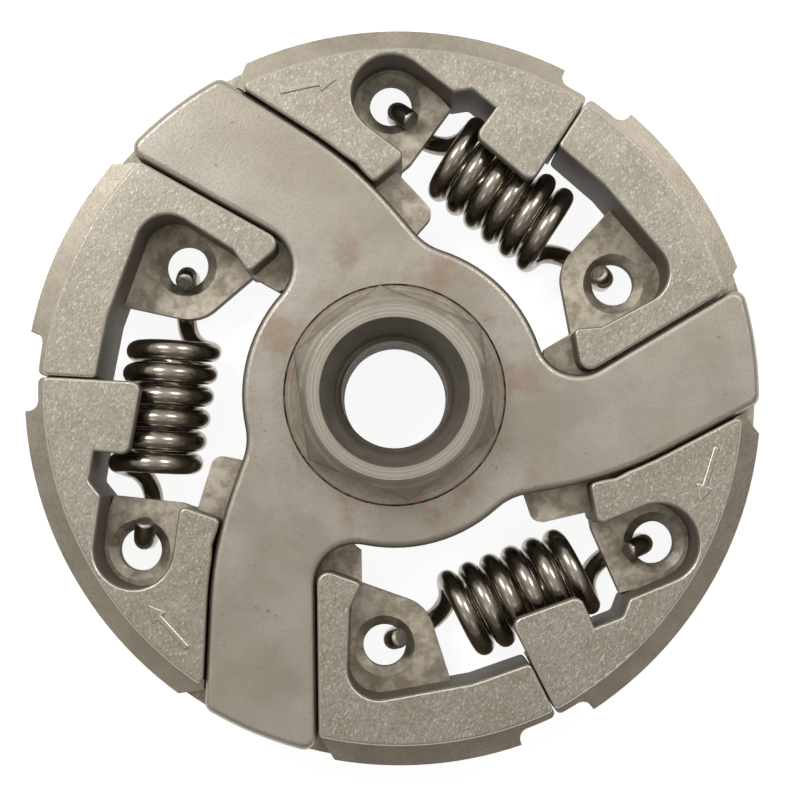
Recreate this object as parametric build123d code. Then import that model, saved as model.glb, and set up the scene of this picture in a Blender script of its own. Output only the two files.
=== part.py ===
from build123d import *
import os
from math import acos, cos, degrees, pi, radians, sin, sqrt, tan

# Three-shoe centrifugal clutch. Origin on the axis at the hub's back face, +Z out of the front.
# Arm 1 and shoe 1 lie near +X, the others follow at equal turns. Lengths in millimetres, angles in degrees.

# Whole clutch
shoe_count = 3
shoe_thick = 14.0
slide_gap = 0.25
overcut = 1.0

# Spider plates
plate_thick = 5.0
plate_inset = 0.3
ring_r = 15.65
arm_tip_r = 37.35
arm_angle = 17.0
arm_trail_offset = 17.95
arm_lead_offset = 8.4
arm_lead_flare = 3.25
heel_offset = 12.45
heel_blend_r = 40.0
heel_fillet_r = 6.0
bay_fillet_r = 4.2
arm_tip_fillet_r = 1.3
die_roll_r = 0.7

# Hub
thread_minor_r = 5.46
thread_lead_in = 0.45
collar_r = 11.2
collar_gap = 0.2
collar_top = 13.75
spacer_r = 13.0
hex_across_flats = 18.9
hex_turn = 27.3
hex_top = 20.0
hex_crown_r = 8.75
hex_crown_angle = 30.0
hex_edge_r = 0.15
mouth_r = 7.5
mouth_floor_r = 5.95
mouth_depth = 5.6

# Shoe rim and friction band
band_r = 38.7
band_proud = 2.25
shoe_retract = 0.9
shoe_mid_angle = -14.0
band_step = 2.0
band_slope = 0.6
band_seat = 0.5
band_end_r = 1.1
band_tail_proud = 0.8
band_tail_r = 0.6
band_lead_end = 39.5
band_trail_end = -68.1
lead_end = 46.25
trail_end = -73.45
edge_round = 0.3

band_notch_depth = 1.1
band_lead_notch_place = 6.5
band_lead_notch_angle = 51.0
band_trail_notch_place = -12.4
band_trail_notch_angle = -61.0

# Shoe web under the arm
web_gap = 0.25
web_setback = 0.2
web_tuck = 0.5
web_bay = (16.3, 2.05)
web_nose = (19.4, 3.2)
web_slot = (22.0, -15.3)
web_heel = (17.6, -15.5)
web_guide = (11.95, -15.75)
web_guide_top = (11.4, -12.0)
guide_corner_r = 1.2

# Plain wing on the anticlockwise side of the arm, offsets taken from its pocket's outer corner
wing_root = 6.0
wing_corner_r = 0.5
wing_nose_r = 0.6
lead_nose = (19.2, 3.3)
lead_ledge = (22.1, 3.0)
lead_tip_r = 1.2
pocket_wall = 4.393
pocket_angle = 10.7
pocket_corner_r = 3.2
lead_ear_offset = (-6.5, 11.35)
lead_hole_offset = (-6.5, 1.75)
lead_end_wall = 5.85

# Tab wing on the clockwise side of the arm, offsets taken from its slot's centre
slot_half_width = 4.05
slot_wall = 1.479
slot_mid_angle = -39.82
slot_angle = 12.0
slot_reach = 12.0
trail_heel_offset = (-5.8, 2.3)
trail_heel_r = 0.7
trail_lip_offset = (-3.85, -4.7)
trail_nose_offset = (-5.05, -6.65)
trail_ledge_offset = (-8.05, -7.2)
trail_hole_offset = (0.35, -0.2)
trail_end_wall = 5.95
tab_thick = 2.0
tab_tip_offset = (-8.87, -3.75)
tab_reach = 4.65
tab_root = 2.5
tab_corner_r = 1.0

# Pocket floors and spring holes
floor_back = 2.65
floor_front = 5.5
floor_seat = 1.5
slot_floor_seat = 0.6
slot_floor_lip = 0.3
floor_ear_offset = (-11.9, 4.61)
ear_round_r = 4.1
hole_r = 2.25
hole_dish_r = 3.2
hole_dish_depth = 0.5

# Springs
wire_r = 1.05
coil_r = 3.9
coil_pitch = 2.38
coil_turns = 6
coil_height = 6.75
coil_shift = 0.3
hook_gap = 0.5
hook_bend_r = 1.45
tip_gap = 0.1
tip_rise = 0.2
tip_bend_r = 1.6
tip_lean = 40.0
tip_length = 0.8
slot_tip_lean = 60.0
slot_tip_length = 1.5


def polar(radius, angle):
    return (radius * cos(radians(angle)), radius * sin(radians(angle)))


def shifted(point, offset):
    return (point[0] + offset[0], point[1] + offset[1])


# Worked out from the sizes above
rear_plate_z = plate_inset
front_plate_z = shoe_thick - plate_inset - plate_thick
web_back = rear_plate_z + plate_thick + web_gap
web_front = front_plate_z - web_gap
shoe_step = 360.0 / shoe_count
shoe_centre = polar(-shoe_retract, shoe_mid_angle)
rim_r = band_r - band_proud
far_r = 2 * band_r
lead_pocket = polar(rim_r - pocket_wall, pocket_angle)
lead_ear = shifted(lead_pocket, lead_ear_offset)
lead_hole = shifted(lead_pocket, lead_hole_offset)
floor_ear = shifted(lead_pocket, floor_ear_offset)
lead_end_r = rim_r - lead_end_wall
slot_centre = polar(rim_r - slot_wall - slot_half_width, slot_mid_angle)
trail_heel = shifted(slot_centre, trail_heel_offset)
trail_lip = shifted(slot_centre, trail_lip_offset)
trail_nose = shifted(slot_centre, trail_nose_offset)
trail_ledge = shifted(slot_centre, trail_ledge_offset)
trail_hole = shifted(slot_centre, trail_hole_offset)
tab_tip = shifted(slot_centre, tab_tip_offset)
trail_end_r = rim_r - trail_end_wall
tab_end_r = trail_end_r - tab_reach


def on_line(offset, angle, along):
    """A point on the line at this angle that passes the axis at this offset, on its clockwise side."""
    return shifted(polar(offset, angle - 90.0), polar(along, angle))


def rounded(*corners):
    """A closed face through corners given as x, y and the radius of that corner."""
    face = make_face(Polyline(*[(x, y) for x, y, radius in corners], close=True))
    for x, y, radius in corners:
        if radius > 0:
            face = fillet(face.vertices().sort_by_distance((x, y, 0))[0], radius)
    return face


def slab(face, low, high):
    return extrude(Pos(0, 0, low) * face, high - low, dir=(0, 0, 1))


def turned(shape, index):
    return Rot(0, 0, index * shoe_step) * shape


def heel_corner():
    """Where the heel's edge meets the arm's trailing edge."""
    along = (arm_trail_offset * cos(radians(arm_angle)) - heel_offset) / sin(radians(arm_angle))
    return on_line(arm_trail_offset, arm_angle, along)


def arm_strip():
    """Arm 1 before its end is trimmed round."""
    lead_angle = arm_angle + arm_lead_flare
    return make_face(Polyline(
        (0, -heel_offset),
        heel_corner(),
        on_line(arm_trail_offset, arm_angle, far_r),
        on_line(arm_lead_offset, lead_angle, far_r),
        on_line(arm_lead_offset, lead_angle, 0),
        close=True))


def plate_outline():
    """The spider's outline: a ring with swept arms, a wide bay before each and a soft heel behind it."""
    lead_angle = arm_angle + arm_lead_flare
    arm = arm_strip() & Circle(arm_tip_r)
    outline = Rot(0, 0, arm_angle - 90) * Circle(ring_r)
    for index in range(shoe_count):
        outline = outline + turned(arm, index)
    bay = on_line(arm_lead_offset, lead_angle, sqrt(ring_r**2 - arm_lead_offset**2))
    heel = (sqrt(ring_r**2 - heel_offset**2), -heel_offset)
    tip_lead = on_line(arm_lead_offset, lead_angle, sqrt(arm_tip_r**2 - arm_lead_offset**2))
    tip_trail = on_line(arm_trail_offset, arm_angle, sqrt(arm_tip_r**2 - arm_trail_offset**2))
    for corner, radius in (
            (heel_corner(), heel_blend_r), (bay, bay_fillet_r), (heel, heel_fillet_r),
            (tip_lead, arm_tip_fillet_r), (tip_trail, arm_tip_fillet_r)):
        for index in range(shoe_count):
            place = turned(Vertex(*corner, 0), index).center()
            outline = fillet(outline.vertices().sort_by_distance(place)[0], radius)
    return outline


def make_plate(outline, low, shown_side):
    """A blanked plate whose shown side has the soft edge that the die leaves."""
    plate = slab(outline, low, low + plate_thick)
    rim = plate.faces().sort_by(Axis.Z)[shown_side].edges()
    plate = fillet(rim, die_roll_r)
    return plate - Cylinder(collar_r + collar_gap, 2 * shoe_thick)


def make_hub():
    """Turned hub: collar through both plates, spacer flange between them, hexagon in front."""
    spacer_back = rear_plate_z + plate_thick
    profile = make_face(Polyline(
        (0, 0), (collar_r, 0), (collar_r, spacer_back), (spacer_r, spacer_back), (spacer_r, front_plate_z),
        (collar_r, front_plate_z), (collar_r, collar_top), (0, collar_top), close=True))
    body = revolve(Plane.XZ * profile, Axis.Z)
    hexagon = RegularPolygon(hex_across_flats / 2, 6, major_radius=False, rotation=hex_turn)
    crown_drop = (hex_across_flats - hex_crown_r) * tan(radians(hex_crown_angle))
    crown = make_face(Polyline(
        (0, 0), (hex_across_flats, 0), (hex_across_flats, hex_top - crown_drop), (hex_crown_r, hex_top),
        (0, hex_top), close=True))
    nut = slab(hexagon, collar_top, hex_top) & revolve(Plane.XZ * crown, Axis.Z)
    nut = fillet(nut.edges().filter_by(lambda edge: edge.center().Z > hex_top - crown_drop / 2), hex_edge_r)
    body = body + nut
    mouth_floor = hex_top - mouth_depth
    bore = make_face(Polyline(
        (0, -overcut), (thread_minor_r, -overcut), (thread_minor_r, mouth_floor - thread_lead_in),
        (mouth_floor_r, mouth_floor), (mouth_r, hex_top), (mouth_r, hex_top + overcut), (0, hex_top + overcut),
        close=True))
    return body - revolve(Plane.XZ * bore, Axis.Z)


def corner_round(face, radius, *corners):
    for corner in corners:
        face = fillet(face.vertices().sort_by_distance((*corner, 0))[0], radius)
    return face


def rim_disc():
    return Pos(*shoe_centre) * Circle(rim_r)


def lead_wing(channel):
    """The plain wing on the anticlockwise side of the arm, with its open pocket."""
    wing = rounded(
        (lead_nose[0], -wing_root, 0), (*lead_nose, wing_nose_r), (*lead_ledge, 0),
        (*lead_pocket, pocket_corner_r), (*lead_ear, 0),
        (*polar(lead_end_r, lead_end), 0), (*polar(far_r, lead_end), 0), (far_r, -wing_root, 0))
    wing = (wing & rim_disc()) - channel
    wing = corner_round(wing, lead_tip_r, (lead_nose[0], 0))
    by_arm = on_line(arm_lead_offset, arm_angle + arm_lead_flare, sqrt(rim_r**2 - arm_lead_offset**2))
    return corner_round(wing, wing_corner_r, by_arm, polar(rim_r, lead_end), polar(lead_end_r, lead_end))


def slot_outline(half_width):
    straight = Pos(-slot_reach / 2, 0) * Rectangle(slot_reach, 2 * half_width)
    return Pos(*slot_centre) * Rot(0, 0, slot_angle) * (Circle(half_width) + straight)


def trail_wing(channel):
    """The wing on the clockwise side of the arm, whose pocket is a slot with a round end."""
    wing = rounded(
        (trail_heel[0], -wing_root, 0), (*trail_heel, 0), (*trail_lip, 0), (*trail_nose, wing_nose_r),
        (*trail_ledge, 0), (*polar(trail_end_r, trail_end), 0), (*polar(far_r, trail_end), 0),
        (far_r, -wing_root, 0))
    wing = (wing & rim_disc()) - channel - slot_outline(slot_half_width)
    wing = corner_round(wing, trail_heel_r, trail_heel)
    by_arm = on_line(arm_trail_offset, arm_angle, sqrt(rim_r**2 - arm_trail_offset**2))
    by_ring = (trail_heel[0], -heel_offset)
    return corner_round(wing, wing_corner_r, by_arm, by_ring, trail_lip, polar(rim_r, trail_end))


def spring_tab():
    """The flat tab that reaches in over the spring from the wing's end."""
    return rounded(
        (*trail_ledge, 0), (*tab_tip, tab_corner_r), (*polar(tab_end_r, trail_end), tab_corner_r),
        (*polar(trail_end_r + tab_root, trail_end), 0))


def friction_band():
    """The raised arcs that bear on the drum: each starts in a V beside the arm and steps down to a tail."""
    tail_r = rim_r + band_tail_proud
    arcs = []
    for notch_place, notch_angle, end_angle, tail_end in (
            (band_lead_notch_place, band_lead_notch_angle, band_lead_end, lead_end),
            (band_trail_notch_place, band_trail_notch_angle, band_trail_end, trail_end)):
        notch = polar(rim_r - band_notch_depth, notch_place)
        notch_run = shifted(notch, polar(far_r, notch_angle))
        arc = sector(notch, notch_run, end_angle) & rim_ring(band_r, rim_r - band_seat)
        tail = sector(notch, notch_run, tail_end) & rim_ring(tail_r, rim_r - band_seat)
        arc = corner_round(arc + tail, band_end_r, polar(tail_r, end_angle))
        arcs.append(corner_round(arc, band_tail_r, polar(tail_r, tail_end)))
    return arcs


def band_cone():
    """The space between the shoulders of the band, which slope away from the wings."""
    reach = 2 * band_proud
    drop = 2 * band_slope
    profile = make_face(Polyline(
        (0, band_step), (rim_r, band_step), (rim_r + reach, band_step + drop),
        (rim_r + reach, shoe_thick - band_step - drop), (rim_r, shoe_thick - band_step),
        (0, shoe_thick - band_step), close=True))
    return Pos(*shoe_centre, 0) * revolve(Plane.XZ * profile, Axis.Z)


def rim_ring(outer, inner):
    return Pos(*shoe_centre) * (Circle(outer) - Circle(inner))


def sector(notch, notch_run, end_angle):
    """The part of the rim between a V notch and an end angle."""
    return make_face(Polyline(
        polar(ring_r, end_angle), polar(far_r, end_angle), notch_run, notch, close=True))


def web_outline():
    """The thin web that joins the wings between the two plates, with its guide tab by the heel."""
    lead_edge = shifted(lead_ledge, (0, -web_tuck))
    web = rounded(
        (*web_bay, 0), (*web_nose, 0), (*lead_edge, 0), (*shifted(lead_edge, polar(far_r, arm_angle)), 0),
        (far_r, web_slot[1], 0), (*web_slot, 0), (*web_heel, 0), (*web_guide, guide_corner_r),
        (*web_guide_top, 0))
    return web & (Pos(*shoe_centre) * Circle(band_r - web_setback))


def lead_floor():
    return rounded(
        (*floor_ear, ear_round_r), (floor_ear[0], lead_ledge[1] - web_tuck, 0),
        (*shifted(lead_pocket, (floor_seat, -floor_seat)), 0), (*shifted(lead_ear, (floor_seat, -floor_seat)), 0))


def trail_floor():
    """The slot's floor, which stands a little proud of the wing's inner edge at the lip."""
    inner = make_face(Polyline(
        (trail_heel[0], -wing_root), trail_heel, (trail_lip[0] - slot_floor_lip, trail_lip[1]),
        (far_r, trail_lip[1]), (far_r, -wing_root), close=True))
    return slot_outline(slot_half_width + slot_floor_seat) & inner


def spring_hole():
    """The space of a spring hole through a pocket floor, with its dished mouth."""
    profile = make_face(Polyline(
        (0, 0), (hole_r, 0), (hole_r, floor_front - hole_dish_depth), (hole_dish_r, floor_front),
        (hole_dish_r, floor_front + hole_dish_depth), (0, floor_front + hole_dish_depth), close=True))
    return revolve(Plane.XZ * profile, Axis.Z)


def soft_edges(block):
    """Gives the front and back outlines of a block the small rounding of a pressed edge."""
    levels = block.faces().filter_by(Plane.XY).sort_by(Axis.Z)
    return fillet(levels[0].edges() + levels[-1].edges(), edge_round)


def make_shoe(outline):
    """One sintered shoe, in the place of shoe 1."""
    channel = offset(outline, amount=slide_gap) + arm_strip()
    body = soft_edges(slab(lead_wing(channel), 0, shoe_thick))
    tab = slab(spring_tab(), shoe_thick - tab_thick, shoe_thick)
    body = body + soft_edges(slab(trail_wing(channel), 0, shoe_thick) + tab)
    body = body + slab(web_outline(), web_back, web_front)
    body = body + slab(lead_floor(), floor_back, floor_front) + slab(trail_floor(), floor_back, floor_front)
    for arc in friction_band():
        body = body + (slab(arc - channel, 0, shoe_thick) & band_cone())
    for x, y in (lead_hole, trail_hole):
        body = body - Pos(x, y, 0) * spring_hole()
    return body


def spring_hook(half_span, lean, length):
    """The bent end at the spring's +X end: off the coil, under a pocket floor and up through its hole."""
    hook_z = floor_back - hook_gap - wire_r - coil_height
    leave = acos(coil_r / -hook_z)
    beta = pi * coil_turns - leave
    lead = coil_pitch / (2 * pi)
    start = Vector(lead * beta, -coil_r * sin(leave), -coil_r * cos(leave))
    heading = Vector(lead, coil_r * cos(leave), -coil_r * sin(leave)).normalized()
    swing = start + (heading + Vector(1, 0, 0)) * (-start.Y / heading.Y)
    upright = half_span - hole_r + wire_r + tip_gap
    bend_start = Vector(upright - hook_bend_r, 0, swing.Z)
    bend_end = Vector(upright, 0, swing.Z + hook_bend_r)
    rise = Vector(upright, 0, floor_front - coil_height + tip_rise)
    lean = radians(lean)
    tip_start = rise + Vector(-tip_bend_r * (1 - cos(lean)), 0, tip_bend_r * sin(lean))
    tip_end = tip_start + Vector(-sin(lean), 0, cos(lean)) * length
    edges = [
        TangentArc(start, swing, tangent=heading),
        Line(swing, bend_start),
        TangentArc(bend_start, bend_end, tangent=(1, 0, 0)),
        Line(bend_end, rise),
        TangentArc(rise, tip_start, tangent=(0, 0, 1)),
        Line(tip_start, tip_end)]
    return edges, degrees(beta)


def coil_turn(start, turn):
    """One turn of the coil about X, from this angle measured at the coil's middle."""
    plane = Plane(
        origin=(coil_pitch * start / 360, 0, 0), z_dir=(1, 0, 0),
        x_dir=(0, sin(radians(start)), -cos(radians(start))))
    return plane * Helix(coil_pitch, coil_pitch * turn / 360, coil_r)


def make_spring():
    """Spring 1, from shoe 1's plain pocket to the next shoe's slot."""
    near = Vector(*lead_hole, 0)
    far = turned(Vertex(*trail_hole, 0), 1).center()
    along = (near - far).normalized()
    half_span = (near - far).length / 2
    hook, beta = spring_hook(half_span, tip_lean, tip_length)
    slot_hook, beta = spring_hook(half_span, slot_tip_lean, slot_tip_length)
    turn = 2 * beta / coil_turns
    coil = [coil_turn(index * turn - beta, turn) for index in range(coil_turns)]
    far_hook = [Rot(0, 0, 180) * edge for edge in slot_hook]
    path = Wire(far_hook + coil + hook)
    section = Plane(origin=path @ 0, z_dir=path % 0) * Circle(wire_r)
    spring = sweep(section, path=path)
    middle = (near + far) / 2 + along.cross(Vector(0, 0, 1)) * coil_shift
    seat = Plane(origin=(middle.X, middle.Y, coil_height), x_dir=along, z_dir=(0, 0, 1))
    return seat * spring


def main():
    os.makedirs("parts", exist_ok=True)
    outline = plate_outline()
    export_step(make_hub(), "parts/hub.step")
    export_step(make_plate(outline, front_plate_z, -1), "parts/front_plate.step")
    export_step(make_plate(outline, rear_plate_z, 0), "parts/rear_plate.step")
    shoe = make_shoe(outline)
    spring = make_spring()
    for index in range(shoe_count):
        export_step(turned(shoe, index), f"parts/shoe_{index + 1}.step")
        export_step(turned(spring, index), f"parts/spring_{index + 1}.step")


main()
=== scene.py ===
from math import acos, atan2, cos, degrees, pi, radians, sin, tan, tau

import bmesh
import bpy
from mathutils import Matrix, Vector


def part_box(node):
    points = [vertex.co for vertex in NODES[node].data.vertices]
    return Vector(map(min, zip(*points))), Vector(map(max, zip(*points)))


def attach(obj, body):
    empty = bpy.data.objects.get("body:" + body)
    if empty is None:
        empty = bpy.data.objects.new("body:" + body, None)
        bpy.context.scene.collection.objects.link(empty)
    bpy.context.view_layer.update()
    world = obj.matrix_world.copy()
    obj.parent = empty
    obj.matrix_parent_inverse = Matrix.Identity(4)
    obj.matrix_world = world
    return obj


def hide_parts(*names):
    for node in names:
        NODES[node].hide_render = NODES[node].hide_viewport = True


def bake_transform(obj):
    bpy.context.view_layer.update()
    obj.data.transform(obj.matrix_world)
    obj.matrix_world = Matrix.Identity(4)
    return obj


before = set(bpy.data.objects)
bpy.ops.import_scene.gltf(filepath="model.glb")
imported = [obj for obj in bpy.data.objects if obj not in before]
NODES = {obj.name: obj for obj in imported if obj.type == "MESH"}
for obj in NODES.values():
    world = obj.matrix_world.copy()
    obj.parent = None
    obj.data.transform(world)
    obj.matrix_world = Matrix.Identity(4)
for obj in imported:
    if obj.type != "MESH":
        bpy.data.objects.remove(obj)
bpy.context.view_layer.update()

MM = 0.001

# Places and sizes shared with the solids, in millimetres and degrees
SHOE_COUNT = 3
SHOE_STEP = 360.0 / SHOE_COUNT
SHOE_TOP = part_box("shoe_1")[1].z / MM
HUB_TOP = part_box("hub")[1].z / MM
LEAD_HOLE = (25.0, 7.7)
TRAIL_HOLE = (24.1, -20.0)
HOLE_R = 2.25
FLOOR_BACK = 2.65
FLOOR_FRONT = 5.5
COLLAR_R = 11.2
MOUTH_R = 7.5
MOUTH_FLOOR = 14.4
HEX_LOW = 16.5

# Springs
WIRE_R = 1.05
COIL_R = 3.9
COIL_PITCH = 2.38
COIL_TURNS = 6
COIL_HEIGHT = 6.75
COIL_SHIFT = 0.3
HOOK_GAP = 0.5
HOOK_BEND_R = 1.45
TIP_GAP = 0.1
TIP_RISE = 0.2
TIP_BEND_R = 1.6
TIP_LEAN = 40.0
TIP_LENGTH = 0.8
SLOT_TIP_LEAN = 60.0
SLOT_TIP_LENGTH = 1.5
TIP_ROUND = 0.4
TIP_RINGS = 5
WIRE_SIDES = 24
COIL_STEP = 6.0
BEND_STEPS = 14

# Thread of the bore
THREAD_PITCH = 1.0
THREAD_CREST_R = 5.46
THREAD_ROOT_R = 6.0
THREAD_CUT_R = 5.36
THREAD_ROOT_FLAT = 0.06
THREAD_HALF_ANGLE = 30.0
THREAD_STEPS = 48
THREAD_START = -1.0
THREAD_END = 15.2

# Braze in the joint between hub and front plate
BRAZE_INNER_R = 11.23
BRAZE_OUTER_R = 11.37
BRAZE_LOW = 13.2
BRAZE_HIGH = 13.5
BRAZE_STEPS = 192

# Plain arrow on each tab wing
ARROW_CENTRE = (29.9, -13.9)
ARROW_TURN = -118.0
ARROW_LENGTH = 6.0
ARROW_WIDTH = 0.6
ARROW_HEAD = 1.9
ARROW_RISE = 0.18
ARROW_SOFT = 0.8

# Rays that look for an edge
BEVEL_SAMPLES = 6
EDGE_WIDTH = 0.45

# Direction of the fine grain on the flat faces
GRAIN_ANGLE = 48.0

# Camera, as the photograph was taken
IMAGE_SIZE = 800.0
SENSOR = 36.0
PIXELS_PER_MM = 9.8
CAMERA_HEIGHT = 225.0
CAMERA_LEAN = 2.3
CAMERA_ROLL = 10.5
AXIS_PIXEL = (394.6, 394.6)
NEAR_CLIP = 0.01
FAR_CLIP = 20.0

# Lamps around the camera, in metres and as the picture shows their places, and the sky between them
LAMP_HEIGHT = 0.3
LAMP_SPREAD = 0.14
LAMP_SIZE = 0.1
COOL_LIGHT = (0.95, 0.975, 1.0)
WARM_LIGHT = (1.0, 0.98, 0.945)
LAMPS = (
    ("upper_left", -1, 1, 13.0, COOL_LIGHT), ("upper_right", 1, 1, 8.8, COOL_LIGHT),
    ("lower_left", -1, -1, 1.1, WARM_LIGHT), ("lower_right", 1, -1, 0.9, WARM_LIGHT))
SKY_TOWARD = (-0.15, 0.52)
SKY_LOW = 0.24
SKY_HIGH = 0.88
SKY_EDGE = 0.3

# Floor: its place, its greys in bounced light and in shadow, and the light that it shows the camera
FLOOR_REACH = 3000.0
FLOOR_DROP = 0.05
FLOOR_GREY = 0.8
FLOOR_SHADE = 0.25
FLOOR_GLOW = 0.9


def image_direction(right, up):
    """A level direction given by how far it runs to the right and up in the picture."""
    roll = radians(CAMERA_ROLL)
    return Vector((right * cos(roll) + up * sin(roll), -right * sin(roll) + up * cos(roll), 0))


class Surface:
    """One procedural material, built node by node around its own shader."""

    def __init__(self, name, metallic):
        self.material = bpy.data.materials.new(name)
        self.material.use_nodes = True
        self.nodes = self.material.node_tree.nodes
        self.links = self.material.node_tree.links
        self.shader = self.nodes["Principled BSDF"]
        self.shader.inputs["Metallic"].default_value = metallic
        place = self.nodes.new("ShaderNodeTexCoord").outputs["Object"]
        self.place = self.vector("MULTIPLY", place, (1 / MM, 1 / MM, 1 / MM))

    def feed(self, value, socket):
        if isinstance(value, bpy.types.NodeSocket):
            self.links.new(value, socket)
        else:
            socket.default_value = value

    def vector(self, operation, a, b):
        node = self.nodes.new("ShaderNodeVectorMath")
        node.operation = operation
        self.feed(a, node.inputs[0])
        self.feed(b, node.inputs[1])
        return node.outputs[0]

    def math(self, operation, a, b=0.0):
        node = self.nodes.new("ShaderNodeMath")
        node.operation = operation
        self.feed(a, node.inputs[0])
        self.feed(b, node.inputs[1])
        return node.outputs[0]

    def times(self, *factors):
        total = factors[0]
        for factor in factors[1:]:
            total = self.math("MULTIPLY", total, factor)
        return total

    def noise(self, size, detail, roughness, place=None):
        """Noise whose features are about this many millimetres wide."""
        node = self.nodes.new("ShaderNodeTexNoise")
        self.feed(self.place if place is None else place, node.inputs["Vector"])
        node.inputs["Scale"].default_value = 1 / size
        node.inputs["Detail"].default_value = detail
        node.inputs["Roughness"].default_value = roughness
        return node.outputs[0]

    def streaks(self, angle, ratio):
        """Places squeezed so that a texture on them is drawn out along this angle."""
        node = self.nodes.new("ShaderNodeMapping")
        node.vector_type = "TEXTURE"
        node.inputs["Rotation"].default_value = (0, 0, radians(angle))
        node.inputs["Scale"].default_value = (ratio, 1, 1)
        self.links.new(self.place, node.inputs["Vector"])
        return node.outputs[0]

    def cells(self, size, place):
        """A random grey for each grain of about this many millimetres."""
        node = self.nodes.new("ShaderNodeTexVoronoi")
        self.links.new(place, node.inputs["Vector"])
        node.inputs["Scale"].default_value = 1 / size
        split = self.nodes.new("ShaderNodeSeparateColor")
        self.links.new(node.outputs["Color"], split.inputs[0])
        return split.outputs[0]

    def span(self, value, low, high, out_low=0.0, out_high=1.0):
        """Maps low..high to out_low..out_high with soft ends."""
        node = self.nodes.new("ShaderNodeMapRange")
        node.interpolation_type = "SMOOTHSTEP"
        self.feed(value, node.inputs["Value"])
        node.inputs["From Min"].default_value = low
        node.inputs["From Max"].default_value = high
        node.inputs["To Min"].default_value = out_low
        node.inputs["To Max"].default_value = out_high
        return node.outputs[0]

    def blend(self, factor, a, b):
        """Mixes two colours."""
        node = self.nodes.new("ShaderNodeMix")
        node.data_type = "RGBA"
        self.feed(factor, node.inputs[0])
        self.feed(a, node.inputs[6])
        self.feed(b, node.inputs[7])
        return node.outputs[2]

    def bump(self, height, depth, strength, below=None):
        """Relief of this depth in millimetres, over an earlier one."""
        node = self.nodes.new("ShaderNodeBump")
        node.inputs["Strength"].default_value = strength
        node.inputs["Distance"].default_value = depth * MM
        self.feed(height, node.inputs["Height"])
        if below is not None:
            self.links.new(below, node.inputs["Normal"])
        return node.outputs[0]

    def axes(self, value):
        node = self.nodes.new("ShaderNodeSeparateXYZ")
        self.links.new(value, node.inputs[0])
        return node.outputs

    def facing(self):
        """How far the surface faces along the axis, 1 on front and back faces and 0 on walls."""
        normal = self.nodes.new("ShaderNodeNewGeometry").outputs["Normal"]
        return self.math("ABSOLUTE", self.axes(normal)[2])

    def radius(self):
        """Distance from the clutch's axis in millimetres."""
        x, y, z = self.axes(self.place)
        return self.math("SQRT", self.math("ADD", self.times(x, x), self.times(y, y)))

    def worn_edge_and_sheen(self, width):
        """1 along the edges within about this many millimetres, 0 on open faces."""
        geometry = self.nodes.new("ShaderNodeNewGeometry").outputs["Normal"]
        bevel = self.nodes.new("ShaderNodeBevel")
        bevel.samples = BEVEL_SAMPLES
        bevel.inputs["Radius"].default_value = width * MM
        node = self.nodes.new("ShaderNodeVectorMath")
        node.operation = "DOT_PRODUCT"
        self.links.new(bevel.outputs[0], node.inputs[0])
        self.links.new(geometry, node.inputs[1])
        return self.span(node.outputs["Value"], 0.8, 0.98, 1.0, 0.0)

    def finish(self, colour, roughness, normal):
        self.feed(colour, self.shader.inputs["Base Color"])
        self.feed(roughness, self.shader.inputs["Roughness"])
        self.links.new(normal, self.shader.inputs["Normal"])
        return self.material


def rgb(red, green, blue):
    """A colour from its values as a picture shows them, 0 to 255."""
    return (*[((v / 255 + 0.055) / 1.055) ** 2.4 for v in (red, green, blue)], 1.0)


def plate_material():
    """Tumbled steel plate, mottled and satin, with brazing stains near the hub, rounded edges painted pale as
    a painted highlight and walls painted darker as painted shade.
    """
    s = Surface("tumbled_plate", 1.0)
    facing = s.facing()
    mottle = s.span(s.noise(6.0, 4.0, 0.6), 0.3, 0.7)
    patch = s.span(s.noise(16.0, 3.0, 0.55), 0.4, 0.7)
    speck = s.span(s.noise(0.24, 3.0, 0.65, s.streaks(GRAIN_ANGLE, 1.6)), 0.3, 0.7)
    colour = s.blend(mottle, rgb(158, 151, 139), rgb(173, 166, 155))
    colour = s.blend(s.times(patch, 0.4), colour, rgb(148, 138, 121))
    colour = s.blend(s.times(speck, 0.3), colour, rgb(128, 119, 104))
    pit = s.span(s.noise(0.7, 2.0, 0.5), 0.7, 0.77)
    colour = s.blend(s.times(pit, 0.5), colour, rgb(98, 88, 74))
    radius = s.radius()
    near_hub = s.times(s.span(radius, COLLAR_R - 0.2, COLLAR_R + 0.8), s.span(radius, 14.0, 20.0, 1.0, 0.0))
    stain = s.times(near_hub, s.span(s.noise(5.0, 3.0, 0.6), 0.5, 0.68))
    colour = s.blend(s.times(stain, 0.5), colour, rgb(138, 113, 94))
    # Rounded edges painted pale: painted highlight.
    roll = s.times(s.span(facing, 0.3, 0.6), s.span(facing, 0.9, 0.99, 1.0, 0.0))
    colour = s.blend(s.times(roll, 0.6), colour, rgb(200, 193, 180))
    # Walls painted darker: painted shade. The same mask also makes them less metallic and rougher.
    wall = s.span(facing, 0.1, 0.5, 1.0, 0.0)
    colour = s.blend(s.times(wall, 0.8), colour, rgb(92, 83, 70))
    s.feed(s.span(wall, 0.0, 1.0, 1.0, 0.4), s.shader.inputs["Metallic"])
    speckled = s.math("ADD", s.times(mottle, 0.4), s.times(speck, 0.6))
    roughness = s.math("ADD", s.span(speckled, 0.0, 1.0, 0.36, 0.48), s.times(wall, 0.3))
    normal = s.bump(s.noise(3.0, 2.0, 0.5), 0.03, 0.4)
    normal = s.bump(speck, 0.01, 0.4, normal)
    return s.finish(colour, roughness, normal)


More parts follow.
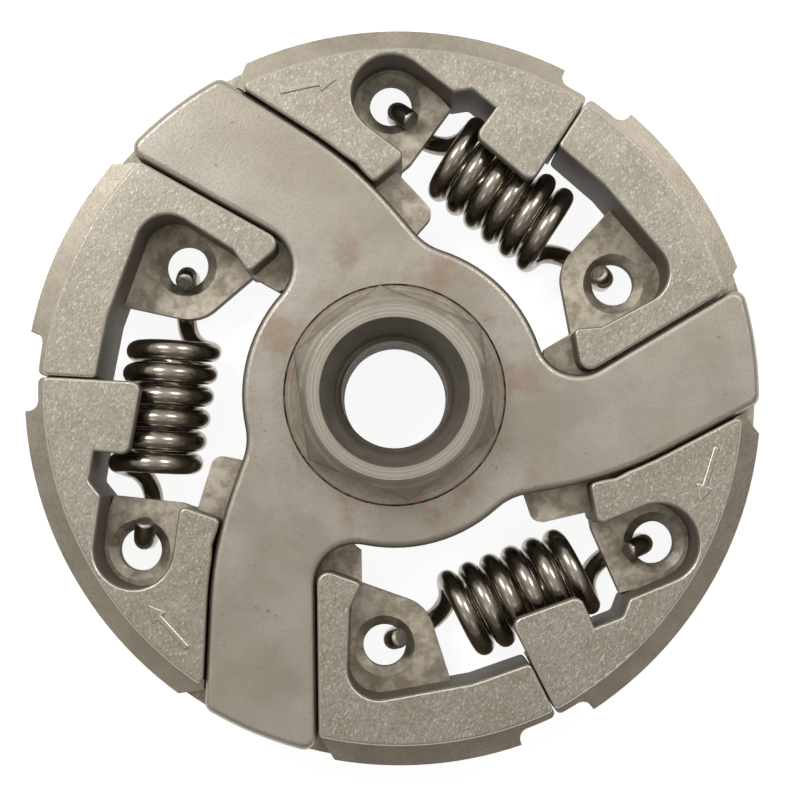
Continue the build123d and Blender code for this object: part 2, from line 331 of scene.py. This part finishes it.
def shoe_material():
    """Sintered iron: fine faces with painted glints on some grains, pale edges that are partly wear and
    partly painted highlight, plainer ledges, pockets painted lighter as painted light and walls painted
    darker as painted shade.
    """
    s = Surface("sintered_iron", 1.0)
    height = s.math("ABSOLUTE", s.math("SUBTRACT", s.axes(s.place)[2], SHOE_TOP / 2))
    facing = s.facing()
    plateau = s.span(height, SHOE_TOP / 2 - 0.5, SHOE_TOP / 2 - 0.3)
    deep = s.span(height, 2.2, 3.6, 1.0, 0.0)
    wall = s.span(facing, 0.1, 0.4, 1.0, 0.0)
    # Edges of the top faces: partly wear, partly painted highlight.
    edge = s.times(plateau, s.math("MAXIMUM", s.worn_edge_and_sheen(EDGE_WIDTH), s.span(facing, 0.9, 0.99, 1.0, 0.0)))
    drawn = s.streaks(GRAIN_ANGLE, 1.9)
    grain = s.cells(0.12, drawn)
    fine = s.noise(0.17, 3.0, 0.7, drawn)
    cloud = s.span(s.noise(4.0, 3.0, 0.6), 0.3, 0.7)
    colour = s.blend(cloud, rgb(156, 148, 134), rgb(168, 161, 148))
    colour = s.blend(s.times(s.span(fine, 0.36, 0.6, 1.0, 0.0), 0.5), colour, rgb(116, 107, 93))
    # Some grains painted bright: painted glints.
    painted_glint = s.span(grain, 0.84, 0.99)
    colour = s.blend(s.times(painted_glint, 0.42), colour, rgb(224, 218, 206))
    smooth = s.blend(cloud, rgb(156, 147, 132), rgb(170, 161, 146))
    smooth = s.blend(s.times(s.span(fine, 0.4, 0.65, 1.0, 0.0), 0.3), smooth, rgb(112, 102, 88))
    colour = s.blend(plateau, smooth, colour)
    # Pocket floors painted lighter than the faces, in soft patches: painted light that fills their shade.
    painted_floor_light = s.span(s.noise(1.6, 4.0, 0.65), 0.35, 0.65)
    floor = s.blend(painted_floor_light, rgb(140, 129, 112), rgb(190, 180, 163))
    colour = s.blend(s.times(deep, 0.85), colour, floor)
    # Walls painted darker: painted shade.
    colour = s.blend(s.times(wall, 0.85), colour, rgb(96, 86, 72))
    # Edges painted pale: partly wear, partly painted highlight.
    colour = s.blend(s.times(edge, 0.75), colour, rgb(216, 209, 195))
    dull = s.math("MAXIMUM", s.times(wall, 0.7), s.times(deep, 0.15))
    s.feed(s.span(dull, 0.0, 1.0, 1.0, 0.0), s.shader.inputs["Metallic"])
    roughness = s.math("ADD", s.span(fine, 0.3, 0.7, 0.34, 0.5), s.times(dull, 0.35))
    normal = s.bump(s.noise(0.9, 2.0, 0.5), 0.04, 0.3)
    normal = s.bump(s.math("ADD", s.times(grain, 0.5), fine), 0.025, 0.4, normal)
    return s.finish(colour, roughness, normal)


def hub_material():
    """Turned steel: fine rings on the faces, brown in the mouth, copper specks where it is brazed, painted
    shade in the bore and on the hex flats, and a painted highlight on the hex chamfer.
    """
    s = Surface("turned_steel", 1.0)
    radius = s.radius()
    height = s.axes(s.place)[2]
    facing = s.facing()
    join = s.nodes.new("ShaderNodeCombineXYZ")
    s.links.new(s.math("ADD", radius, height), join.inputs[0])
    rings = s.noise(0.16, 2.0, 0.6, join.outputs[0])
    cloud = s.span(s.noise(3.0, 4.0, 0.6), 0.3, 0.7)
    speck = s.span(s.noise(0.4, 3.0, 0.7), 0.4, 0.7)
    colour = s.blend(cloud, rgb(150, 141, 127), rgb(172, 164, 150))
    colour = s.blend(s.times(speck, 0.3), colour, rgb(112, 102, 87))
    crown = s.times(s.span(facing, 0.97, 0.995), s.span(height, HUB_TOP - 0.2, HUB_TOP - 0.1))
    colour = s.blend(s.times(crown, 0.6), colour, rgb(194, 187, 175))
    colour = s.blend(s.times(s.span(rings, 0.45, 0.65, 1.0, 0.0), 0.35), colour, rgb(104, 94, 80))
    inside = s.span(radius, MOUTH_R - 0.1, MOUTH_R + 0.1, 1.0, 0.0)
    mouth = s.times(inside, s.span(height, MOUTH_FLOOR - 0.8, MOUTH_FLOOR))
    colour = s.blend(s.times(mouth, 0.9), colour, s.blend(cloud, rgb(78, 68, 54), rgb(104, 93, 77)))
    # Bore painted darker: painted shade.
    bore = s.span(radius, 6.2, 6.6, 1.0, 0.0)
    colour = s.blend(s.times(bore, 0.6), colour, rgb(92, 83, 70))
    # Upright faces of the hex and collar painted darker: painted shade.
    flat = s.times(s.span(facing, 0.1, 0.4, 1.0, 0.0), s.span(radius, 9.0, 9.3))
    colour = s.blend(s.times(flat, 0.6), colour, rgb(96, 86, 72))
    # Hex chamfer painted pale: painted highlight.
    tilted = s.times(s.span(facing, 0.78, 0.84), s.span(facing, 0.9, 0.95, 1.0, 0.0))
    bevel = s.times(tilted, s.span(height, HEX_LOW, HEX_LOW + 0.5))
    colour = s.blend(s.times(bevel, 0.4), colour, rgb(206, 198, 181))
    fleck = s.span(s.noise(1.3, 3.0, 0.6), 0.6, 0.68)
    copper = s.times(s.span(radius, COLLAR_R - 1.0, COLLAR_R - 0.5), fleck)
    colour = s.blend(s.times(copper, 0.6), colour, rgb(166, 124, 100))
    s.feed(s.span(mouth, 0.0, 1.0, 1.0, 0.1), s.shader.inputs["Metallic"])
    roughness = s.math("ADD", s.span(rings, 0.3, 0.7, 0.26, 0.42), s.times(mouth, 0.2))
    normal = s.bump(rings, 0.03, 0.6)
    normal = s.bump(s.noise(0.7, 3.0, 0.6), 0.02, 0.4, normal)
    return s.finish(colour, roughness, normal)


def wire_material():
    """Oiled spring wire, dark brown and glossy, with faint drawing marks."""
    s = Surface("spring_wire", 1.0)
    cloud = s.span(s.noise(1.4, 4.0, 0.6), 0.3, 0.7)
    fine = s.noise(0.16, 3.0, 0.6)
    colour = s.blend(cloud, rgb(150, 141, 128), rgb(174, 165, 152))
    colour = s.blend(s.times(s.span(fine, 0.5, 0.7), 0.35), colour, rgb(96, 88, 77))
    roughness = s.span(fine, 0.3, 0.7, 0.18, 0.27)
    normal = s.bump(s.noise(0.5, 2.0, 0.5), 0.015, 0.4)
    return s.finish(colour, roughness, normal)


def cut_material():
    """The sheared end of the wire."""
    s = Surface("cut_wire", 1.0)
    fine = s.noise(0.25, 3.0, 0.6)
    colour = s.blend(s.span(fine, 0.3, 0.7), rgb(156, 148, 134), rgb(196, 188, 174))
    normal = s.bump(fine, 0.04, 0.5)
    return s.finish(colour, s.span(fine, 0.3, 0.7, 0.4, 0.55), normal)


def braze_and_shade_material():
    """Braze with copper flecks, its dull brown kept dark as painted shade in the joint."""
    s = Surface("braze", 1.0)
    fleck = s.span(s.noise(1.1, 3.0, 0.6), 0.4, 0.65)
    fine = s.noise(0.2, 3.0, 0.6)
    colour = s.blend(fleck, rgb(58, 50, 41), rgb(124, 100, 82))
    return s.finish(colour, s.span(fine, 0.3, 0.7, 0.45, 0.6), s.bump(fine, 0.03, 0.5))


def arc_points(start, end, tangent, steps):
    """Points on the arc that leaves start along tangent and reaches end, without start itself."""
    chord = end - start
    forward = tangent.normalized()
    side = chord - forward * chord.dot(forward)
    side.normalize()
    radius = chord.length_squared / (2 * chord.dot(side))
    sweep = 2 * atan2(chord.dot(side), chord.dot(forward))
    angles = [sweep * step / steps for step in range(1, steps + 1)]
    return [start + radius * (sin(a) * forward + (1 - cos(a)) * side) for a in angles]


def half_spring_path(half_span, lean, length):
    """The wire's centre line from the middle of the coil to the tip of its hook, along +X."""
    hook_z = FLOOR_BACK - HOOK_GAP - WIRE_R - COIL_HEIGHT
    leave = acos(COIL_R / -hook_z)
    beta = pi * COIL_TURNS - leave
    lead = COIL_PITCH / tau
    steps = round(degrees(beta) / COIL_STEP)
    turns = [beta * step / steps for step in range(steps + 1)]
    points = [Vector((lead * t, COIL_R * sin(t), -COIL_R * cos(t))) for t in turns]
    start = points[-1]
    heading = Vector((lead, COIL_R * cos(beta), COIL_R * sin(beta))).normalized()
    swing = start + (heading + Vector((1, 0, 0))) * (-start.y / heading.y)
    points += arc_points(start, swing, heading, BEND_STEPS)
    upright = half_span - HOLE_R + WIRE_R + TIP_GAP
    points.append(Vector((upright - HOOK_BEND_R, 0, swing.z)))
    corner = Vector((upright, 0, swing.z + HOOK_BEND_R))
    points += arc_points(points[-1], corner, Vector((1, 0, 0)), BEND_STEPS)
    rise = Vector((upright, 0, FLOOR_FRONT - COIL_HEIGHT + TIP_RISE))
    points.append(rise)
    lean = radians(lean)
    tip = rise + Vector((-TIP_BEND_R * (1 - cos(lean)), 0, TIP_BEND_R * sin(lean)))
    points += arc_points(rise, tip, Vector((0, 0, 1)), BEND_STEPS)
    points.append(tip + Vector((-sin(lean), 0, cos(lean))) * length)
    return points, lead * beta


def sweep_wire(name, points):
    """A round wire along points, open where it starts and with a rounded cut where it ends."""
    mesh = bmesh.new()
    last = (points[-1] - points[-2]).normalized()
    stations = [(p, WIRE_R) for p in points[:-1]]
    for step in range(TIP_RINGS + 1):
        turn = radians(90.0 * step / TIP_RINGS)
        back = last * TIP_ROUND * (1 - sin(turn))
        stations.append((points[-1] - back, WIRE_R - TIP_ROUND * (1 - cos(turn))))
    side = None
    rings = []
    for index, (point, radius) in enumerate(stations):
        before = stations[max(index - 1, 0)][0]
        after = stations[min(index + 1, len(stations) - 1)][0]
        along = (after - before).normalized()
        side = along.orthogonal() if side is None else side - along * side.dot(along)
        side.normalize()
        other = along.cross(side)
        angles = [tau * step / WIRE_SIDES for step in range(WIRE_SIDES)]
        rings.append([mesh.verts.new(point + radius * (cos(a) * side + sin(a) * other)) for a in angles])
    tip = len(rings) - TIP_RINGS
    for index, (near, far) in enumerate(zip(rings, rings[1:])):
        for step in range(WIRE_SIDES):
            nxt = (step + 1) % WIRE_SIDES
            face = mesh.faces.new((near[step], near[nxt], far[nxt], far[step]))
            face.smooth = True
            face.material_index = int(index >= tip)
    cap = mesh.faces.new(rings[-1])
    cap.material_index = 1
    return mesh_object(name, mesh)


def mesh_object(name, mesh):
    """Makes an object from a mesh drawn in millimetres."""
    mesh.transform(Matrix.Scale(MM, 4))
    mesh.normal_update()
    data = bpy.data.meshes.new(name)
    mesh.to_mesh(data)
    mesh.free()
    piece = bpy.data.objects.new(name, data)
    bpy.context.scene.collection.objects.link(piece)
    return piece


def turned(point, index):
    return Matrix.Rotation(radians(SHOE_STEP * index), 4, "Z") @ Vector((*point, 0))


def make_spring(index, wire, cut):
    """One spring as two halves that meet in the middle, so that each hook stays in its own shoe."""
    near = turned(LEAD_HOLE, index)
    far = turned(TRAIL_HOLE, index + 1)
    middle = (near + far) / 2 + (near - far).normalized().cross(Vector((0, 0, 1))) * COIL_SHIFT
    middle.z = COIL_HEIGHT
    half_span = (near - far).length / 2
    for word, hole, other, shoe, lean, length in (
            ("lead", near, far, index, TIP_LEAN, TIP_LENGTH),
            ("trail", far, near, (index + 1) % SHOE_COUNT, SLOT_TIP_LEAN, SLOT_TIP_LENGTH)):
        points, coil_end = half_spring_path(half_span, lean, length)
        along = (hole - other).normalized()
        across = Vector((0, 0, 1)).cross(along)
        seat = Matrix((along, across, Vector((0, 0, 1)))).transposed()
        half = sweep_wire(f"spring_{index + 1}_{word}", [middle + seat @ p for p in points])
        half.data.materials.append(wire)
        half.data.materials.append(cut)
        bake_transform(half)
        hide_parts(f"spring_{index + 1}")


def cut_thread(hub):
    """Cuts the thread's helical groove into the hub's bore."""
    mesh = bmesh.new()
    spread = (THREAD_ROOT_R - THREAD_CUT_R) * tan(radians(THREAD_HALF_ANGLE))
    section = (
        (THREAD_CUT_R, -spread - THREAD_ROOT_FLAT), (THREAD_ROOT_R, -THREAD_ROOT_FLAT),
        (THREAD_ROOT_R, THREAD_ROOT_FLAT), (THREAD_CUT_R, spread + THREAD_ROOT_FLAT))
    steps = round((THREAD_END - THREAD_START) / THREAD_PITCH * THREAD_STEPS)
    rings = []
    for step in range(steps + 1):
        angle = tau * step / THREAD_STEPS
        z = THREAD_START + THREAD_PITCH * step / THREAD_STEPS
        rings.append([mesh.verts.new((r * cos(angle), r * sin(angle), z + dz)) for r, dz in section])
    for near, far in zip(rings, rings[1:]):
        for step in range(len(section)):
            nxt = (step + 1) % len(section)
            mesh.faces.new((near[step], near[nxt], far[nxt], far[step]))
    mesh.faces.new(rings[0])
    mesh.faces.new(rings[-1])
    bmesh.ops.recalc_face_normals(mesh, faces=mesh.faces)
    cutter = mesh_object("thread_cutter", mesh)
    cutter.hide_render = True
    cutter.hide_viewport = True
    groove = hub.modifiers.new("thread", "BOOLEAN")
    groove.operation = "DIFFERENCE"
    groove.solver = "EXACT"
    groove.object = cutter


def make_braze(material):
    """The ring of braze that fills the joint between hub and front plate."""
    mesh = bmesh.new()
    corners = (
        (BRAZE_INNER_R, BRAZE_LOW), (BRAZE_OUTER_R, BRAZE_LOW),
        (BRAZE_OUTER_R, BRAZE_HIGH), (BRAZE_INNER_R, BRAZE_HIGH))
    rings = []
    for step in range(BRAZE_STEPS):
        angle = tau * step / BRAZE_STEPS
        rings.append([mesh.verts.new((r * cos(angle), r * sin(angle), z)) for r, z in corners])
    for near, far in zip(rings, rings[1:] + rings[:1]):
        for step in range(len(corners)):
            nxt = (step + 1) % len(corners)
            mesh.faces.new((near[step], near[nxt], far[nxt], far[step]))
    bmesh.ops.recalc_face_normals(mesh, faces=mesh.faces)
    ring = mesh_object("braze", mesh)
    ring.data.materials.append(material)
    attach(ring, "spider")


def make_arrow(index, material):
    """A plain raised arrow on a shoe's tab wing, which shows the way it lies."""
    mesh = bmesh.new()
    half = ARROW_WIDTH / 2
    back = -ARROW_LENGTH / 2
    neck = ARROW_LENGTH / 2 - ARROW_HEAD
    outline = (
        (back, -half), (neck, -half), (neck, -ARROW_HEAD / 2), (ARROW_LENGTH / 2, 0),
        (neck, ARROW_HEAD / 2), (neck, half), (back, half))
    place = Matrix.Translation(turned(ARROW_CENTRE, index))
    place = place @ Matrix.Rotation(radians(SHOE_STEP * index + ARROW_TURN), 4, "Z")
    rings = []
    for z in (SHOE_TOP - ARROW_RISE, SHOE_TOP + ARROW_RISE):
        rings.append([mesh.verts.new(place @ Vector((x, y, z))) for x, y in outline])
    low, high = rings
    for step in range(len(outline)):
        nxt = (step + 1) % len(outline)
        mesh.faces.new((low[step], low[nxt], high[nxt], high[step]))
    mesh.faces.new(high)
    mesh.faces.new(list(reversed(low)))
    arrow = mesh_object(f"arrow_{index + 1}", mesh)
    arrow.data.materials.append(material)
    soft = arrow.modifiers.new("soft", "BEVEL")
    soft.width = ARROW_RISE * MM * ARROW_SOFT
    soft.segments = 2
    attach(arrow, f"shoe_{index + 1}")


def dress(node, material):
    data = NODES[node].data
    data.materials.clear()
    data.materials.append(material)


def white_for_view(material, colour, glow, shade):
    """A surface that the camera and reflections see as white, and that still takes a shadow."""
    nodes = material.node_tree.nodes
    links = material.node_tree.links
    nodes.clear()
    path = nodes.new("ShaderNodeLightPath")
    seen = nodes.new("ShaderNodeMath")
    seen.operation = "MAXIMUM"
    links.new(path.outputs["Is Camera Ray"], seen.inputs[0])
    links.new(path.outputs["Is Glossy Ray"], seen.inputs[1])
    shown = nodes.new("ShaderNodeMath")
    shown.operation = "MAXIMUM"
    links.new(seen.outputs[0], shown.inputs[0])
    links.new(path.outputs["Is Transmission Ray"], shown.inputs[1])
    plain = nodes.new("ShaderNodeBsdfDiffuse")
    plain.inputs["Color"].default_value = (colour, colour, colour, 1)
    faint = nodes.new("ShaderNodeBsdfDiffuse")
    faint.inputs["Color"].default_value = (shade, shade, shade, 1)
    light = nodes.new("ShaderNodeEmission")
    light.inputs["Strength"].default_value = glow
    both = nodes.new("ShaderNodeAddShader")
    links.new(faint.outputs[0], both.inputs[0])
    links.new(light.outputs[0], both.inputs[1])
    pick = nodes.new("ShaderNodeMixShader")
    links.new(shown.outputs[0], pick.inputs[0])
    links.new(plain.outputs[0], pick.inputs[1])
    links.new(both.outputs[0], pick.inputs[2])
    end = nodes.new("ShaderNodeOutputMaterial")
    links.new(pick.outputs[0], end.inputs["Surface"])


def make_floor():
    """A wide pale floor just under the hub's back face."""
    mesh = bmesh.new()
    turns = ((-1, -1), (1, -1), (1, 1), (-1, 1))
    mesh.faces.new([mesh.verts.new((x * FLOOR_REACH, y * FLOOR_REACH, -FLOOR_DROP)) for x, y in turns])
    floor = mesh_object("floor", mesh)
    material = bpy.data.materials.new("pale_floor")
    material.use_nodes = True
    white_for_view(material, FLOOR_GREY, FLOOR_GLOW, FLOOR_SHADE)
    floor.data.materials.append(material)


def make_world():
    """A soft sky, brightest beyond the picture's upper edge, that the camera sees as white."""
    world = bpy.data.worlds.new("studio")
    bpy.context.scene.world = world
    world.use_nodes = True
    nodes = world.node_tree.nodes
    links = world.node_tree.links
    nodes.clear()
    path = nodes.new("ShaderNodeLightPath")
    direction = nodes.new("ShaderNodeTexCoord")
    toward = nodes.new("ShaderNodeVectorMath")
    toward.operation = "DOT_PRODUCT"
    links.new(direction.outputs["Generated"], toward.inputs[0])
    toward.inputs[1].default_value = (image_direction(*SKY_TOWARD) + Vector((0, 0, 1))).normalized()
    level = nodes.new("ShaderNodeMapRange")
    level.inputs["From Min"].default_value = SKY_EDGE
    level.inputs["To Min"].default_value = SKY_LOW
    level.inputs["To Max"].default_value = SKY_HIGH
    links.new(toward.outputs["Value"], level.inputs["Value"])
    soft = nodes.new("ShaderNodeBackground")
    soft.inputs["Color"].default_value = (*WARM_LIGHT, 1)
    links.new(level.outputs[0], soft.inputs["Strength"])
    white = nodes.new("ShaderNodeBackground")
    white.inputs["Strength"].default_value = 1.0
    pick = nodes.new("ShaderNodeMixShader")
    end = nodes.new("ShaderNodeOutputWorld")
    links.new(path.outputs["Is Camera Ray"], pick.inputs[0])
    links.new(soft.outputs[0], pick.inputs[1])
    links.new(white.outputs[0], pick.inputs[2])
    links.new(pick.outputs[0], end.inputs["Surface"])


def softbox(name, right, up, radiance, colour):
    """A square lamp that looks at the middle of the clutch from a place given as the picture shows it."""
    lamp = bpy.data.lights.new(name, "AREA")
    lamp.size = LAMP_SIZE
    lamp.energy = radiance * pi * LAMP_SIZE ** 2
    lamp.color = colour
    holder = bpy.data.objects.new(name, lamp)
    bpy.context.scene.collection.objects.link(holder)
    holder.location = image_direction(right, up) * LAMP_SPREAD + Vector((0, 0, LAMP_HEIGHT))
    aim = Vector((0, 0, SHOE_TOP * MM)) - holder.location
    holder.rotation_euler = aim.to_track_quat("-Z", "Y").to_euler()


def make_camera():
    """The camera at the photograph's place, nearly overhead."""
    data = bpy.data.cameras.new("camera")
    data.sensor_width = SENSOR
    data.lens = SENSOR * CAMERA_HEIGHT * PIXELS_PER_MM / IMAGE_SIZE
    camera = bpy.data.objects.new("camera", data)
    bpy.context.scene.collection.objects.link(camera)
    off = [(IMAGE_SIZE / 2 - AXIS_PIXEL[0]) / PIXELS_PER_MM, (AXIS_PIXEL[1] - IMAGE_SIZE / 2) / PIXELS_PER_MM]
    target = image_direction(*off) + Vector((0, 0, SHOE_TOP))
    lean = radians(CAMERA_LEAN)
    back = image_direction(0, -1) * sin(lean) + Vector((0, 0, cos(lean)))
    across = image_direction(1, 0)
    frame_axes = Matrix((across, back.cross(across), back)).transposed()
    camera.matrix_world = Matrix.Translation((target + back * CAMERA_HEIGHT) * MM) @ frame_axes.to_4x4()
    data.clip_start = NEAR_CLIP
    data.clip_end = FAR_CLIP
    bpy.context.scene.camera = camera


def main():
    shoe = shoe_material()
    plate = plate_material()
    wire = wire_material()
    cut = cut_material()
    dress("hub", hub_material())
    dress("front_plate", plate)
    dress("rear_plate", plate)
    cut_thread(NODES["hub"])
    make_braze(braze_and_shade_material())
    for index in range(SHOE_COUNT):
        dress(f"shoe_{index + 1}", shoe)
        make_spring(index, wire, cut)
        make_arrow(index, shoe)
    make_floor()
    make_world()
    for lamp in LAMPS:
        softbox(*lamp)
    make_camera()
    bpy.context.scene.view_settings.view_transform = "Standard"


main()
